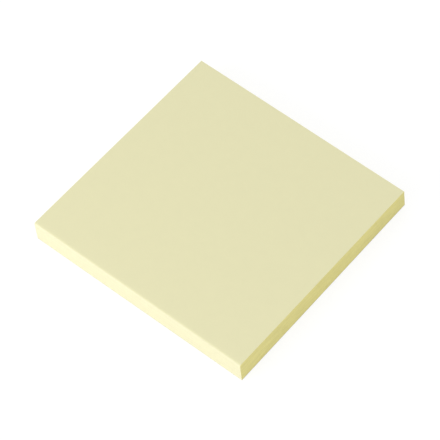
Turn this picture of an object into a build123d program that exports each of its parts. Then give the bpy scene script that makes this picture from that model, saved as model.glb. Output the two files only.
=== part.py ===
"""A square sticky note pad, in millimetres.

It has two pieces. note_stack is the whole stack of notes, stuck to each other along one edge, as one solid.
backing_sheet is the thin card under them, which covers the lowest note's adhesive.

The origin is the middle of the underside. +Z is up and +Y points towards the glued edge, so that somebody
who writes on the top note looks along +Y.
"""

import os

from build123d import *

# Notes. Each has a strip of adhesive on its back along the glued edge, and nothing along the free edge.
note_width = 76.0  # along X, the length of the glued edge
note_length = 76.0  # along Y, from the free edge to the glued edge
note_count = 80
note_thickness = 0.083
glue_thickness = 0.012  # what one strip of adhesive adds to the stack at the glued edge

# Backing, cut to size together with the notes.
backing_thickness = 0.25

# The adhesive makes the stack a shallow wedge, highest at the glued edge.
free_edge_height = note_count * note_thickness
glued_edge_height = note_count * (note_thickness + glue_thickness)


def build_backing_sheet():
    """The flat card that the pad lies on."""
    with BuildPart() as backing_sheet:
        with BuildSketch(Plane.XY):
            Rectangle(note_width, note_length)
        extrude(amount=backing_thickness)
    return backing_sheet


def build_note_stack():
    """The stack's side view, a wedge, drawn across the glued edge and carried along it."""
    free_edge = -note_length / 2
    glued_edge = note_length / 2
    with BuildPart() as note_stack:
        with BuildSketch(Plane.YZ):
            with BuildLine():
                Polyline(
                    (free_edge, backing_thickness),
                    (glued_edge, backing_thickness),
                    (glued_edge, backing_thickness + glued_edge_height),
                    (free_edge, backing_thickness + free_edge_height),
                    close=True,
                )
            make_face()
        extrude(amount=note_width / 2, both=True)
    return note_stack


os.makedirs("parts", exist_ok=True)
pieces = {
    "backing_sheet": build_backing_sheet(),
    "note_stack": build_note_stack(),
}
for name, piece in pieces.items():
    piece.part.label = name
    export_step(piece.part, f"parts/{name}.step")
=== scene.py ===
"""The looks of a square sticky note pad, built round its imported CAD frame.

The pad is 80 separate notes on a thin card. Each note is a closed sheet of its own, with softened
cut edges. The notes are stuck together along the +Y edge, and lie loose along the -Y edge, with fine
gaps between them.

Lengths in the frame are metres. The notes are worked out in millimetres and scaled once, in make_piece().
The looks follow one photo. The number of notes, the glued side and the card are guesses.
"""

import math

import bpy
import numpy as np
from mathutils import Matrix, Vector


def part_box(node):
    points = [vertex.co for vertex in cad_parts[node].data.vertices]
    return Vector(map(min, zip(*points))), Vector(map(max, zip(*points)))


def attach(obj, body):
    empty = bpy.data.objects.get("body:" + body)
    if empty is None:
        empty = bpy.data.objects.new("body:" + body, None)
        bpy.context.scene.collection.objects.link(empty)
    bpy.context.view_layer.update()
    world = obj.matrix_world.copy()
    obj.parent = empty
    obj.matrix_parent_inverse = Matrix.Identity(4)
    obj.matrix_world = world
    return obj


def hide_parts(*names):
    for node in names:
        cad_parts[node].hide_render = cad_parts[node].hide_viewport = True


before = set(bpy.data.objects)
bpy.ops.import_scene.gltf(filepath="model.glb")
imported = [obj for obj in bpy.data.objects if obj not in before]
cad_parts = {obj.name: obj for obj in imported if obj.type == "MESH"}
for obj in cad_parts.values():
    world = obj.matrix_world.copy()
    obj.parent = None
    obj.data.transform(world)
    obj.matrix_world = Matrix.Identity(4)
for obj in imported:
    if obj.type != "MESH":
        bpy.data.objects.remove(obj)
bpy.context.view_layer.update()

MM = 0.001  # one millimetre in the frame's metres
SEED = 20

# ---------------------------------------------------------------- sizes, in millimetres

NOTE_COUNT = 80
ADHESIVE_WIDTH = 20.0  # the strip along the glued edge where each note is stuck to the next
CONTACT_GAP = 0.001  # left between two notes where they are stuck
LOOSE_GAP = 0.006  # what two notes usually stand apart by at the loose edge
OPEN_GAPS = 14  # places in the stack where the loose edge has opened more
OPEN_GAP_SIZE = (0.015, 0.040)
NEVER_OPENED = 2, 1  # how many notes at the bottom and at the top have no such opening under them
GAP_WAVE_LENGTH = (50, 120)  # along the edge, from one wide part of a gap to the next
GAP_MIDDLE, GAP_SWING = 0.6, 0.4  # how open a gap is on average, and how much that swings along it
NOTE_SOFTENING = (0.013, 0.017)  # of a note's cut edge: inwards, and up or down
SOFTENING_RANGE = (0.7, 1.3)  # how that differs between notes, as a factor
CARD_SOFTENING = (0.03, 0.03)

LEAN = (0.46, 0.25)  # how far the top note stands to +X and +Y of the card, from being pushed over
SHIFT = 0.018  # how far notes stray sideways from the leaning stack
FAN_ANGLE = 0.0004  # how far notes turn about the glued edge, in radians
FOLLOWING = 0.8  # how closely a note follows the one below it in straying and turning
KNIFE_WAVE, KNIFE_WAVE_LENGTH = 0.010, 10.0  # waviness of the cut that all the notes share
PRESS_DROP = 0.15  # how far the knife pressed the topmost glued edge down
PRESS_DEPTH = 2.0  # how far down the stack that shows
TRIM_INSET = 0.20  # how far the topmost glued edge stands back from the glued side below it
TRIM_DEPTH = 0.6  # how far down the stack that shows
KNIFE_REACH = 0.35  # how far in from the glued edge both show

EDGE_LINES = (0.0, 0.15, 0.4, 0.9, 2.0)  # mesh lines near a sheet's edges, from the edge inwards
EDGE_BANDS = ((0.0, 0.2), (0.2, 0.8), (0.8, 1.0))  # a cut edge's two bevels and flat, on the map
TOP_NOTE_CELLS, BLOCK_CELLS = 48, 10  # mesh cells across the rest of a sheet

GLUED_SIDE = 2  # a sheet's sides are numbered from the free one, anticlockwise from above

# Where a piece's lower face, upper face and cut edges go on its UV map.
BAKE_MAP = "OFBake"
BLOCK_AREAS = ((0.975, 0.0, 0.985, 0.9), (0.988, 0.0, 0.998, 0.9), (0.0, 0.0, 0.97, 1.0))
TOP_NOTE_AREAS = ((0.91, 0.0, 0.99, 0.08), (0.0, 0.0, 0.9, 0.9), (0.0, 0.91, 1.0, 1.0))
CARD_AREAS = ((0.0, 0.0, 0.9, 0.9), (0.91, 0.0, 0.99, 0.08), (0.0, 0.91, 1.0, 1.0))
STRIP_FILL = 0.96  # how much of its strip a side's height takes

# ---------------------------------------------------------------- colours, linear RGB

NOTE_FACE = (0.790, 0.760, 0.478)
# painted shade: the cut edges are a deeper, more saturated yellow than the faces, standing in for light
# bounced between the stacked sheets and for the shade on the loose sides
NOTE_EDGE = (0.820, 0.753, 0.311)
# painted highlight: the glued side faces the lamp, so its cut edges get the paper's edge colour made paler
# and less yellow
GLUED_EDGE_HIGHLIT = (0.766, 0.734, 0.507)
CARD_FACE = (0.740, 0.725, 0.640)
CARD_EDGE = (0.690, 0.670, 0.570)
NOTE_TONES = 0.035  # how much lighter or darker single notes are at their cut edges
PAPER_IOR, PAPER_GLOSS = 1.47, 0.3  # a gloss of 0.5 would leave the surface as its index makes it

# ---------------------------------------------------------------- camera and light

CAMERA_AZIMUTH = math.radians(219.74)  # 0 looks along +Y, and 90 along -X
CAMERA_ELEVATION = math.radians(56.35)
CAMERA_ROLL = math.radians(-0.83)
CAMERA_DISTANCE = 0.7738
CAMERA_SIDE, CAMERA_UP = -0.292 * MM, 0.445 * MM
SENSOR = 36.0
LENS = 217.35

KEY_AZIMUTH, KEY_ELEVATION = math.radians(18.0), math.radians(20.0)  # from +Y towards +X
KEY_DISTANCE, KEY_SIZE, KEY_POWER = 0.6, 0.4, 1.86
WORLD_LEVEL = 0.84
FLOOR_COLOUR = (0.88, 0.88, 0.88)
FLOOR_SIZE = 8.0
FLOOR_GAP = 0.01 * MM  # under the card
FLOOR_LIGHT = 0.9  # on the open floor, at the least
SHADOW_SHARE = 0.25  # how much of the floor's white, as the camera sees it, the shadow can take away
SHADOW_END = (0.10, 0.30)  # from here outwards the floor turns to plain white
WHITE = 1.02  # of the open floor near the pad, just over full white


# ---------------------------------------------------------------- shader helpers


class Shader:
    """A material's or the world's node tree, with short calls to add nodes."""

    def __init__(self, owner):
        owner.use_nodes = True
        self.tree = owner.node_tree
        self.tree.nodes.clear()

    def add(self, kind, inputs=(), **settings):
        """Adds a node. inputs maps its sockets, by name or number, to values or to other nodes' outputs."""
        made = self.tree.nodes.new(kind)
        for name, value in settings.items():
            setattr(made, name, value)
        for socket, value in dict(inputs).items():
            if isinstance(value, bpy.types.NodeSocket):
                self.tree.links.new(value, made.inputs[socket])
            else:
                made.inputs[socket].default_value = value
        return made

    def maths(self, operation, a, b):
        return self.add("ShaderNodeMath", {0: a, 1: b}, operation=operation).outputs[0]

    def remap(self, value, low, high, to_low, to_high):
        inputs = {"Value": value, "From Min": low, "From Max": high, "To Min": to_low, "To Max": to_high}
        return self.add("ShaderNodeMapRange", inputs).outputs["Result"]

    def millimetres(self, stretch=(1, 1, 1), turn=0.0):
        """The point on the pad in millimetres, turned about Z by an angle and then stretched."""
        place = self.add("ShaderNodeTexCoord").outputs["Object"]
        inputs = {"Vector": place, "Angle": turn}
        turned = self.add("ShaderNodeVectorRotate", inputs, rotation_type="Z_AXIS")
        inputs = {0: turned.outputs[0], 1: tuple(s / MM for s in stretch)}
        return self.add("ShaderNodeVectorMath", inputs, operation="MULTIPLY").outputs[0]

    def noise(self, place, scale, detail=2.0):
        inputs = {"Vector": place, "Scale": scale, "Detail": detail}
        return self.add("ShaderNodeTexNoise", inputs).outputs["Fac"]

    def attribute(self, name):
        return self.add("ShaderNodeAttribute", attribute_name=name).outputs["Fac"]

    def mix(self, share, a, b):
        """Mixes two colours, each an RGB tuple or another node's output."""
        inputs = {0: share, 6: opaque(a), 7: opaque(b)}
        return self.add("ShaderNodeMix", inputs, data_type="RGBA").outputs[2]

    def lighten(self, colour, *factors):
        """The colour times each factor, which are numbers about 1."""
        for factor in factors:
            inputs = {0: colour, "Scale": factor}
            colour = self.add("ShaderNodeVectorMath", inputs, operation="SCALE").outputs[0]
        return colour

    def surface(self, colour, roughness, height, bump_depth):
        """Finishes a matt material from its colour, roughness and bump height."""
        bump = self.add("ShaderNodeBump", {"Height": height, "Distance": bump_depth, "Strength": 1.0})
        inputs = {"Base Color": colour, "Roughness": roughness, "Normal": bump.outputs[0]}
        paper = self.add("ShaderNodeBsdfPrincipled", inputs)
        paper.inputs["IOR"].default_value = PAPER_IOR
        paper.inputs["Specular IOR Level"].default_value = PAPER_GLOSS
        self.add("ShaderNodeOutputMaterial", {"Surface": paper.outputs[0]})


def opaque(colour):
    return (*colour, 1.0) if isinstance(colour, tuple) else colour


# ---------------------------------------------------------------- materials


def fibres(shader, length, width):
    """Short hair-like marks lying in three directions, 0 to 1."""
    marks = 0.0
    for turn in (0.3, 1.4, 2.5):
        place = shader.millimetres((1 / length, 1 / width, 1), turn)
        hairs = shader.remap(shader.noise(place, 1.0, 1.0), 0.60, 0.72, 0.0, 1.0)
        marks = shader.maths("MAXIMUM", marks, hairs)
    return marks


def note_face_material():
    """Smooth uncoated paper: cloudy pulp, fine grain and a few hair-like fibres."""
    material = bpy.data.materials.new("note_face")
    shader = Shader(material)
    cloud = shader.noise(shader.millimetres(), 0.30, 3.0)
    grain = shader.noise(shader.millimetres(), 7.0, 2.0)
    hairs = fibres(shader, length=0.9, width=0.06)
    colour = shader.lighten(
        NOTE_FACE,
        shader.remap(cloud, 0.3, 0.7, 0.994, 1.006),
        shader.remap(grain, 0.3, 0.7, 0.990, 1.010),
        shader.remap(hairs, 0.0, 1.0, 1.0, 0.985),
    )
    height = shader.maths("ADD", shader.maths("MULTIPLY", grain, 0.6), shader.maths("MULTIPLY", hairs, 0.4))
    roughness = shader.remap(cloud, 0.3, 0.7, 0.84, 0.90)
    shader.surface(colour, roughness, height, 0.006 * MM)
    return material


def cut_edge_material(name, loose, glued, tone_range):
    """The cut side of stacked sheets, with painted light in its colour: paler and less yellow on the glued
    side, a painted highlight where it faces the lamp, and a deeper yellow on the other sides, painted shade.
    Each has its own tone, and the knife left faint marks across them.
    """
    material = bpy.data.materials.new(name)
    shader = Shader(material)
    tone = shader.attribute("tone")
    glued_lit_side = shader.attribute("glued_lit_side")
    nap = shader.noise(shader.millimetres(), 14.0, 2.0)
    patches = shader.noise(shader.millimetres((0.2, 0.2, 1.5)), 1.0, 3.0)
    darkest = shader.remap(glued_lit_side, 0.0, 1.0, 0.955, 0.985)
    lightest = shader.remap(glued_lit_side, 0.0, 1.0, 1.045, 1.015)
    knife = shader.noise(shader.millimetres((5.0, 5.0, 0.15)), 1.0, 2.0)
    colour = shader.lighten(
        # the glued side's cut edges take the paler colour, a painted highlight on the side that faces the
        # lamp
        shader.mix(glued_lit_side, loose, glued),
        shader.remap(tone, 0.0, 1.0, 1.0 - tone_range, 1.0 + tone_range),
        shader.remap(nap, 0.3, 0.7, 0.96, 1.04),
        shader.remap(patches, 0.3, 0.7, darkest, lightest),
        shader.remap(knife, 0.3, 0.7, 0.985, 1.015),
    )
    height = shader.maths("ADD", shader.maths("MULTIPLY", nap, 0.7), shader.maths("MULTIPLY", knife, 0.3))
    roughness = shader.remap(nap, 0.3, 0.7, 0.86, 0.94)
    shader.surface(colour, roughness, height, 0.010 * MM)
    return material


def card_face_material():
    """Thin greyish card, rougher than the notes, with darker flecks in its pulp."""
    material = bpy.data.materials.new("card_face")
    shader = Shader(material)
    cloud = shader.noise(shader.millimetres(), 0.5, 3.0)
    grain = shader.noise(shader.millimetres(), 5.0, 3.0)
    flecks = fibres(shader, length=0.6, width=0.10)
    colour = shader.lighten(
        CARD_FACE,
        shader.remap(cloud, 0.3, 0.7, 0.985, 1.015),
        shader.remap(grain, 0.3, 0.7, 0.975, 1.025),
        shader.remap(flecks, 0.0, 1.0, 1.0, 0.90),
    )
    shader.surface(colour, shader.remap(grain, 0.3, 0.7, 0.86, 0.93), grain, 0.010 * MM)
    return material


# ---------------------------------------------------------------- the stack's shape, in millimetres


def smooth_step(value):
    value = np.clip(value, 0.0, 1.0)
    return value * value * (3 - 2 * value)


def wander(rng, count, width):
    """A random walk from -1 to 1 that keeps near 0, so that neighbours lie close together."""
    values = np.zeros((count, width))
    for i in range(1, count):
        values[i] = FOLLOWING * values[i - 1] + rng.normal(0, 1, width)
    return values / np.abs(values).max()


class Stack:
    """Where each note lies. x and y are places on a flat, square note, as numbers or arrays."""

    def __init__(self, node):
        lowest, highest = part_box(node)
        tops = [v.co.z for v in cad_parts[node].data.vertices if v.co.z > lowest.z + MM]
        self.half_width = highest.x / MM
        self.half_length = highest.y / MM
        self.bottom = lowest.z / MM
        self.glued_height = (highest.z - lowest.z) / MM
        self.free_height = (min(tops) - lowest.z) / MM
        rng = np.random.default_rng(SEED)
        self.gaps = rng.exponential(LOOSE_GAP, NOTE_COUNT)
        candidates = np.arange(NEVER_OPENED[0], NOTE_COUNT - NEVER_OPENED[1])
        opened = rng.choice(candidates, OPEN_GAPS, replace=False)
        self.gaps[opened] += rng.uniform(*OPEN_GAP_SIZE, OPEN_GAPS)
        self.wave_length = rng.uniform(*GAP_WAVE_LENGTH, NOTE_COUNT)
        self.wave_start = rng.uniform(0, 2 * math.pi, NOTE_COUNT)
        self.shift = wander(rng, NOTE_COUNT, 2) * SHIFT
        self.turn = wander(rng, NOTE_COUNT, 1)[:, 0] * FAN_ANGLE
        self.tone = rng.uniform(0, 1, NOTE_COUNT)
        self.softening = rng.uniform(*SOFTENING_RANGE, NOTE_COUNT)

    def openings(self, x, y):
        """The gap under each note, which widens from where the notes are stuck towards the free edge."""
        free_length = 2 * self.half_length - ADHESIVE_WIDTH
        loose = smooth_step((self.half_length - ADHESIVE_WIDTH - y) / free_length)
        each = (NOTE_COUNT, 1, 1)
        phase = 2 * math.pi * x / self.wave_length.reshape(each) + self.wave_start.reshape(each)
        return CONTACT_GAP + self.gaps.reshape(each) * loose * (GAP_MIDDLE + GAP_SWING * np.sin(phase))

    def heights(self, x, y):
        """Each note's lower and upper height over a grid of places, as two arrays, one row a note."""
        along = (y + self.half_length) / (2 * self.half_length)
        height = self.free_height + (self.glued_height - self.free_height) * along
        openings = self.openings(x, y)
        paper = (height - openings.sum(0)) / NOTE_COUNT
        lower = np.cumsum(openings, 0) + paper * np.arange(NOTE_COUNT).reshape(-1, 1, 1)
        levels = lower, lower + paper
        return [self.bottom + z - PRESS_DROP * self.knife_mark(height - z, PRESS_DEPTH, y) for z in levels]

    def knife_mark(self, depth, deepest, y):
        """How much the knife shows at a point, from 1 at the topmost glued edge. depth is below the top."""
        return np.clip(1 - depth / deepest, 0, 1) ** 2 * np.exp((y - self.half_length) / KNIFE_REACH)

    def sideways(self, x, y, note, side):
        """How far a point on the lower (0) or upper (1) side of a note lies from its place, in X and Y."""
        above_middle = (note + side) / NOTE_COUNT - 0.5
        leaning_x, leaning_y = (lean * above_middle + shift for lean, shift in zip(LEAN, self.shift[note]))
        fanned = self.turn[note] * (self.half_length - y)
        waves = [KNIFE_WAVE * np.sin(place / KNIFE_WAVE_LENGTH) for place in (x, y)]
        cut_x = waves[1] * x / self.half_width
        cut_y = waves[0] * y / self.half_length
        inset = TRIM_INSET * self.knife_mark(self.glued_height * (0.5 - above_middle), TRIM_DEPTH, y)
        return np.array([leaning_x + fanned + cut_x, leaning_y + cut_y - inset])


def mesh_lines(half, cells):
    """Places of a sheet's mesh lines across it, closer together near both edges."""
    inner = half - EDGE_LINES[-1]
    left = [-half + d for d in EDGE_LINES[:-1]]
    return np.array([*left, *np.linspace(-inner, inner, cells + 1), *(-d for d in reversed(left))])


# ---------------------------------------------------------------- sheets as closed meshes


class Sheets:
    """Closed sheets, gathered into one mesh. Material 0 is on their two faces, and 1 on their cut edges."""

    def __init__(self, areas):
        self.areas = areas
        self.points, self.faces, self.uvs = [], [], []
        self.values = {"material": [], "tone": [], "glued_lit_side": []}

    def add_face(self, corners, uvs, material, tone, glued_lit_side):
        self.faces.append(corners)
        self.uvs.extend(uvs)
        for name, value in (("material", material), ("tone", tone), ("glued_lit_side", glued_lit_side)):
            self.values[name].append(value)

    def add(self, xs, ys, heights, sideways, softening, tone, share):
        """Adds a sheet. heights are its lower and upper side's, on the grid of xs and ys."""
        m, n = len(xs) - 1, len(ys) - 1
        ring = [(i, 0) for i in range(m)] + [(m, j) for j in range(n)]
        ring += [(m - i, n) for i in range(m)] + [(0, n - j) for j in range(n)]
        start = len(self.points)
        rim = self.add_points(xs, ys, heights, sideways, softening, ring)

        def cap(side, i, j):
            return start + side * (m + 1) * (n + 1) + i * (n + 1) + j

        self.add_caps(xs, ys, cap, tone)
        self.add_rim(xs, ys, cap, rim, ring, tone, share)

    def add_points(self, xs, ys, heights, sideways, softening, ring):
        """Adds both sides' points, then the two lines round the cut edge. Returns where the lines start."""
        inwards, upwards = softening
        grid = np.array(np.meshgrid(xs, ys, indexing="ij"))
        inset = 1 - inwards / np.array([xs[-1], ys[-1]]).reshape(2, 1, 1)
        across, along = np.array(ring).T
        for side in (0, 1):
            x, y = grid * inset + sideways(*grid, side)
            self.points.extend(np.stack([x, y, heights[side]], -1).reshape(-1, 3).tolist())
        rim = len(self.points)
        for side in (0, 1):
            x, y = (grid + sideways(*grid, side))[:, across, along]
            z = heights[side][across, along] + (upwards, -upwards)[side]
            self.points.extend(np.stack([x, y, z], -1).tolist())
        return rim

    def add_caps(self, xs, ys, cap, tone):
        """Adds the squares of the lower and the upper side."""

        def flat_uv(area, i, j):
            return between(area[0], area[2], share_of(xs, i)), between(area[1], area[3], share_of(ys, j))

        for i in range(len(xs) - 1):
            for j in range(len(ys) - 1):
                square = [(i, j), (i + 1, j), (i + 1, j + 1), (i, j + 1)]
                for side, order in ((0, square[::-1]), (1, square)):
                    uvs = [flat_uv(self.areas[side], *c) for c in order]
                    self.add_face([cap(side, *c) for c in order], uvs, 0, tone, 0.0)

    def add_rim(self, xs, ys, cap, rim, ring, tone, share):
        """Adds the cut edge, in bands between the sides. share is where it starts and ends up its strips."""
        m, n = len(xs) - 1, len(ys) - 1
        sides = [0] * m + [1] * n + [2] * m + [3] * n
        for k, side in enumerate(sides):
            ends = (k, (k + 1) % len(ring))
            low, high = [[cap(0, *ring[e]), rim + e, rim + len(ring) + e, cap(1, *ring[e])] for e in ends]
            lines = xs if side in (0, 2) else ys
            places = [share_of(lines, ring[e][side % 2]) for e in ends]
            # marks the glued side, which faces the lamp and gets the painted highlight colour
            glued_lit = float(side == GLUED_SIDE)
            for band, (bottom, top) in enumerate(EDGE_BANDS):
                corners = [low[band], high[band], high[band + 1], low[band + 1]]
                spots = [(places[0], bottom), (places[1], bottom), (places[1], top), (places[0], top)]
                uvs = [self.strip_uv(side, u, between(*share, v)) for u, v in spots]
                self.add_face(corners, uvs, 1, tone, glued_lit)

    def strip_uv(self, side, along, height):
        """A place on one of the four strips, one above another, that the sides unroll into."""
        left, bottom, right, top = self.areas[2]
        each = (top - bottom) / 4
        return between(left, right, along), bottom + each * (side + STRIP_FILL * height)

    def make_piece(self, name, materials):
        mesh = bpy.data.meshes.new(name)
        mesh.from_pydata([[c * MM for c in p] for p in self.points], [], self.faces)
        for material in materials:
            mesh.materials.append(material)
        mesh.polygons.foreach_set("material_index", self.values["material"])
        for label in ("tone", "glued_lit_side"):
            mesh.attributes.new(label, "FLOAT", "FACE").data.foreach_set("value", self.values[label])
        layer = mesh.uv_layers.new(name=BAKE_MAP, do_init=False)
        layer.uv.foreach_set("vector", np.array(self.uvs, np.float32).ravel())
        mesh.update()
        piece = bpy.data.objects.new(name, mesh)
        bpy.context.scene.collection.objects.link(piece)
        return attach(piece, "root")


def between(low, high, share):
    return low + (high - low) * share


def share_of(lines, i):
    """How far across a sheet a mesh line is, 0 to 1."""
    return (lines[i] - lines[0]) / (lines[-1] - lines[0])


# ---------------------------------------------------------------- pieces


def build_notes(stack):
    """The top note and the block of notes under it, as two pieces that together replace the CAD stack."""
    # the cut edges carry painted light: a deeper yellow, painted shade, on the loose sides and a paler
    # painted highlight on the glued side
    materials = note_face_material(), cut_edge_material("note_edge", NOTE_EDGE, GLUED_EDGE_HIGHLIT, NOTE_TONES)
    for name, notes, cells, areas in (
        ("note_block", range(NOTE_COUNT - 1), BLOCK_CELLS, BLOCK_AREAS),
        ("top_note", [NOTE_COUNT - 1], TOP_NOTE_CELLS, TOP_NOTE_AREAS),
    ):
        xs, ys = mesh_lines(stack.half_width, cells), mesh_lines(stack.half_length, cells)
        lower, upper = stack.heights(*np.meshgrid(xs, ys, indexing="ij"))
        sheets = Sheets(areas)
        for i, note in enumerate(notes):

            def sideways(x, y, side, note=note):
                return stack.sideways(x, y, note, side)

            softening = [s * stack.softening[note] for s in NOTE_SOFTENING]
            share = (i / len(notes), (i + 1) / len(notes))
            heights = lower[note], upper[note]
            sheets.add(xs, ys, heights, sideways, softening, stack.tone[note], share)
        piece = sheets.make_piece(name, materials)
        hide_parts("note_stack")


def build_card():
    """The card under the notes, which replaces the CAD backing sheet."""
    lowest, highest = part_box("backing_sheet")
    xs, ys = mesh_lines(highest.x / MM, BLOCK_CELLS), mesh_lines(highest.y / MM, BLOCK_CELLS)
    heights = [np.full((len(xs), len(ys)), z / MM) for z in (lowest.z, highest.z)]

    def sideways(x, y, side):
        return np.array([x * 0 - LEAN[0] / 2, y * 0 - LEAN[1] / 2])

    sheets = Sheets(CARD_AREAS)
    sheets.add(xs, ys, heights, sideways, CARD_SOFTENING, 0.5, (0.0, 1.0))
    edge = cut_edge_material("card_edge", CARD_EDGE, CARD_EDGE, 0.0)
    piece = sheets.make_piece("backing_card", (card_face_material(), edge))
    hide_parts("backing_sheet")


# ---------------------------------------------------------------- stage


def white_share(shader):
    """1 for rays that should see a white background, and 0 for those that light the pad."""
    path = shader.add("ShaderNodeLightPath").outputs
    seen = shader.maths("MAXIMUM", path["Is Camera Ray"], path["Is Glossy Ray"])
    return shader.maths("MAXIMUM", seen, path["Is Transmission Ray"])


def build_floor():
    """A white floor. The camera sees it as white, less a light share of the pad's shadow."""
    bpy.ops.mesh.primitive_plane_add(size=FLOOR_SIZE, location=(0, 0, -FLOOR_GAP))
    floor = bpy.context.object
    floor.name = "floor"
    material = bpy.data.materials.new("floor")
    shader = Shader(material)
    lit = shader.add("ShaderNodeBsdfDiffuse", {"Color": opaque(FLOOR_COLOUR)})
    shadowed = shader.add("ShaderNodeBsdfDiffuse", {"Color": opaque((SHADOW_SHARE,) * 3)})
    glow = shader.add("ShaderNodeEmission", {"Strength": WHITE - SHADOW_SHARE * FLOOR_LIGHT})
    near = shader.add("ShaderNodeAddShader", {0: shadowed.outputs[0], 1: glow.outputs[0]})
    white = shader.add("ShaderNodeEmission", {"Strength": 1.0})
    place = shader.add("ShaderNodeTexCoord").outputs["Object"]
    away = shader.add("ShaderNodeVectorMath", {0: place}, operation="LENGTH").outputs["Value"]
    far = shader.remap(away, *SHADOW_END, 0.0, 1.0)
    seen = shader.add("ShaderNodeMixShader", {0: far, 1: near.outputs[0], 2: white.outputs[0]})
    inputs = {0: white_share(shader), 1: lit.outputs[0], 2: seen.outputs[0]}
    both = shader.add("ShaderNodeMixShader", inputs)
    shader.add("ShaderNodeOutputMaterial", {"Surface": both.outputs[0]})
    floor.data.materials.append(material)


def build_world():
    """Even light from all round, which the camera sees as white."""
    world = bpy.data.worlds.new("studio")
    bpy.context.scene.world = world
    shader = Shader(world)
    level = shader.remap(white_share(shader), 0.0, 1.0, WORLD_LEVEL, 1.0)
    background = shader.add("ShaderNodeBackground", {"Color": (1, 1, 1, 1), "Strength": level})
    shader.add("ShaderNodeOutputWorld", {"Surface": background.outputs[0]})


def build_key_light():
    """One large soft lamp, low on the glued side."""
    lamp = bpy.data.lights.new("key", "AREA")
    lamp.size = KEY_SIZE
    lamp.energy = KEY_POWER
    key = bpy.data.objects.new("key", lamp)
    key.visible_camera = False
    flat = math.cos(KEY_ELEVATION)
    back = Vector((math.sin(KEY_AZIMUTH) * flat, math.cos(KEY_AZIMUTH) * flat, math.sin(KEY_ELEVATION)))
    key.location = back * KEY_DISTANCE
    key.rotation_mode = "QUATERNION"
    key.rotation_quaternion = back.to_track_quat("Z", "Y")
    bpy.context.scene.collection.objects.link(key)


def build_camera():
    """A long lens that looks down on the pad, with the corner of the glued edge nearest."""
    azimuth, elevation = CAMERA_AZIMUTH, CAMERA_ELEVATION
    flat = math.cos(elevation)
    back = Vector((math.sin(azimuth) * flat, -math.cos(azimuth) * flat, math.sin(elevation)))
    level = Vector((math.cos(azimuth), math.sin(azimuth), 0))
    upright = back.cross(level)
    right = level * math.cos(CAMERA_ROLL) + upright * math.sin(CAMERA_ROLL)
    up = back.cross(right)
    data = bpy.data.cameras.new("camera")
    data.lens = LENS
    data.sensor_width = SENSOR
    camera = bpy.data.objects.new("camera", data)
    turn = Matrix((right, up, back)).transposed().to_4x4()
    place = back * CAMERA_DISTANCE + right * CAMERA_SIDE + up * CAMERA_UP
    camera.matrix_world = Matrix.Translation(place) @ turn
    bpy.context.scene.collection.objects.link(camera)
    bpy.context.scene.camera = camera


stack = Stack("note_stack")
build_notes(stack)
build_card()
build_floor()
build_world()
build_key_light()
build_camera()
bpy.context.scene.view_settings.view_transform = "Standard"
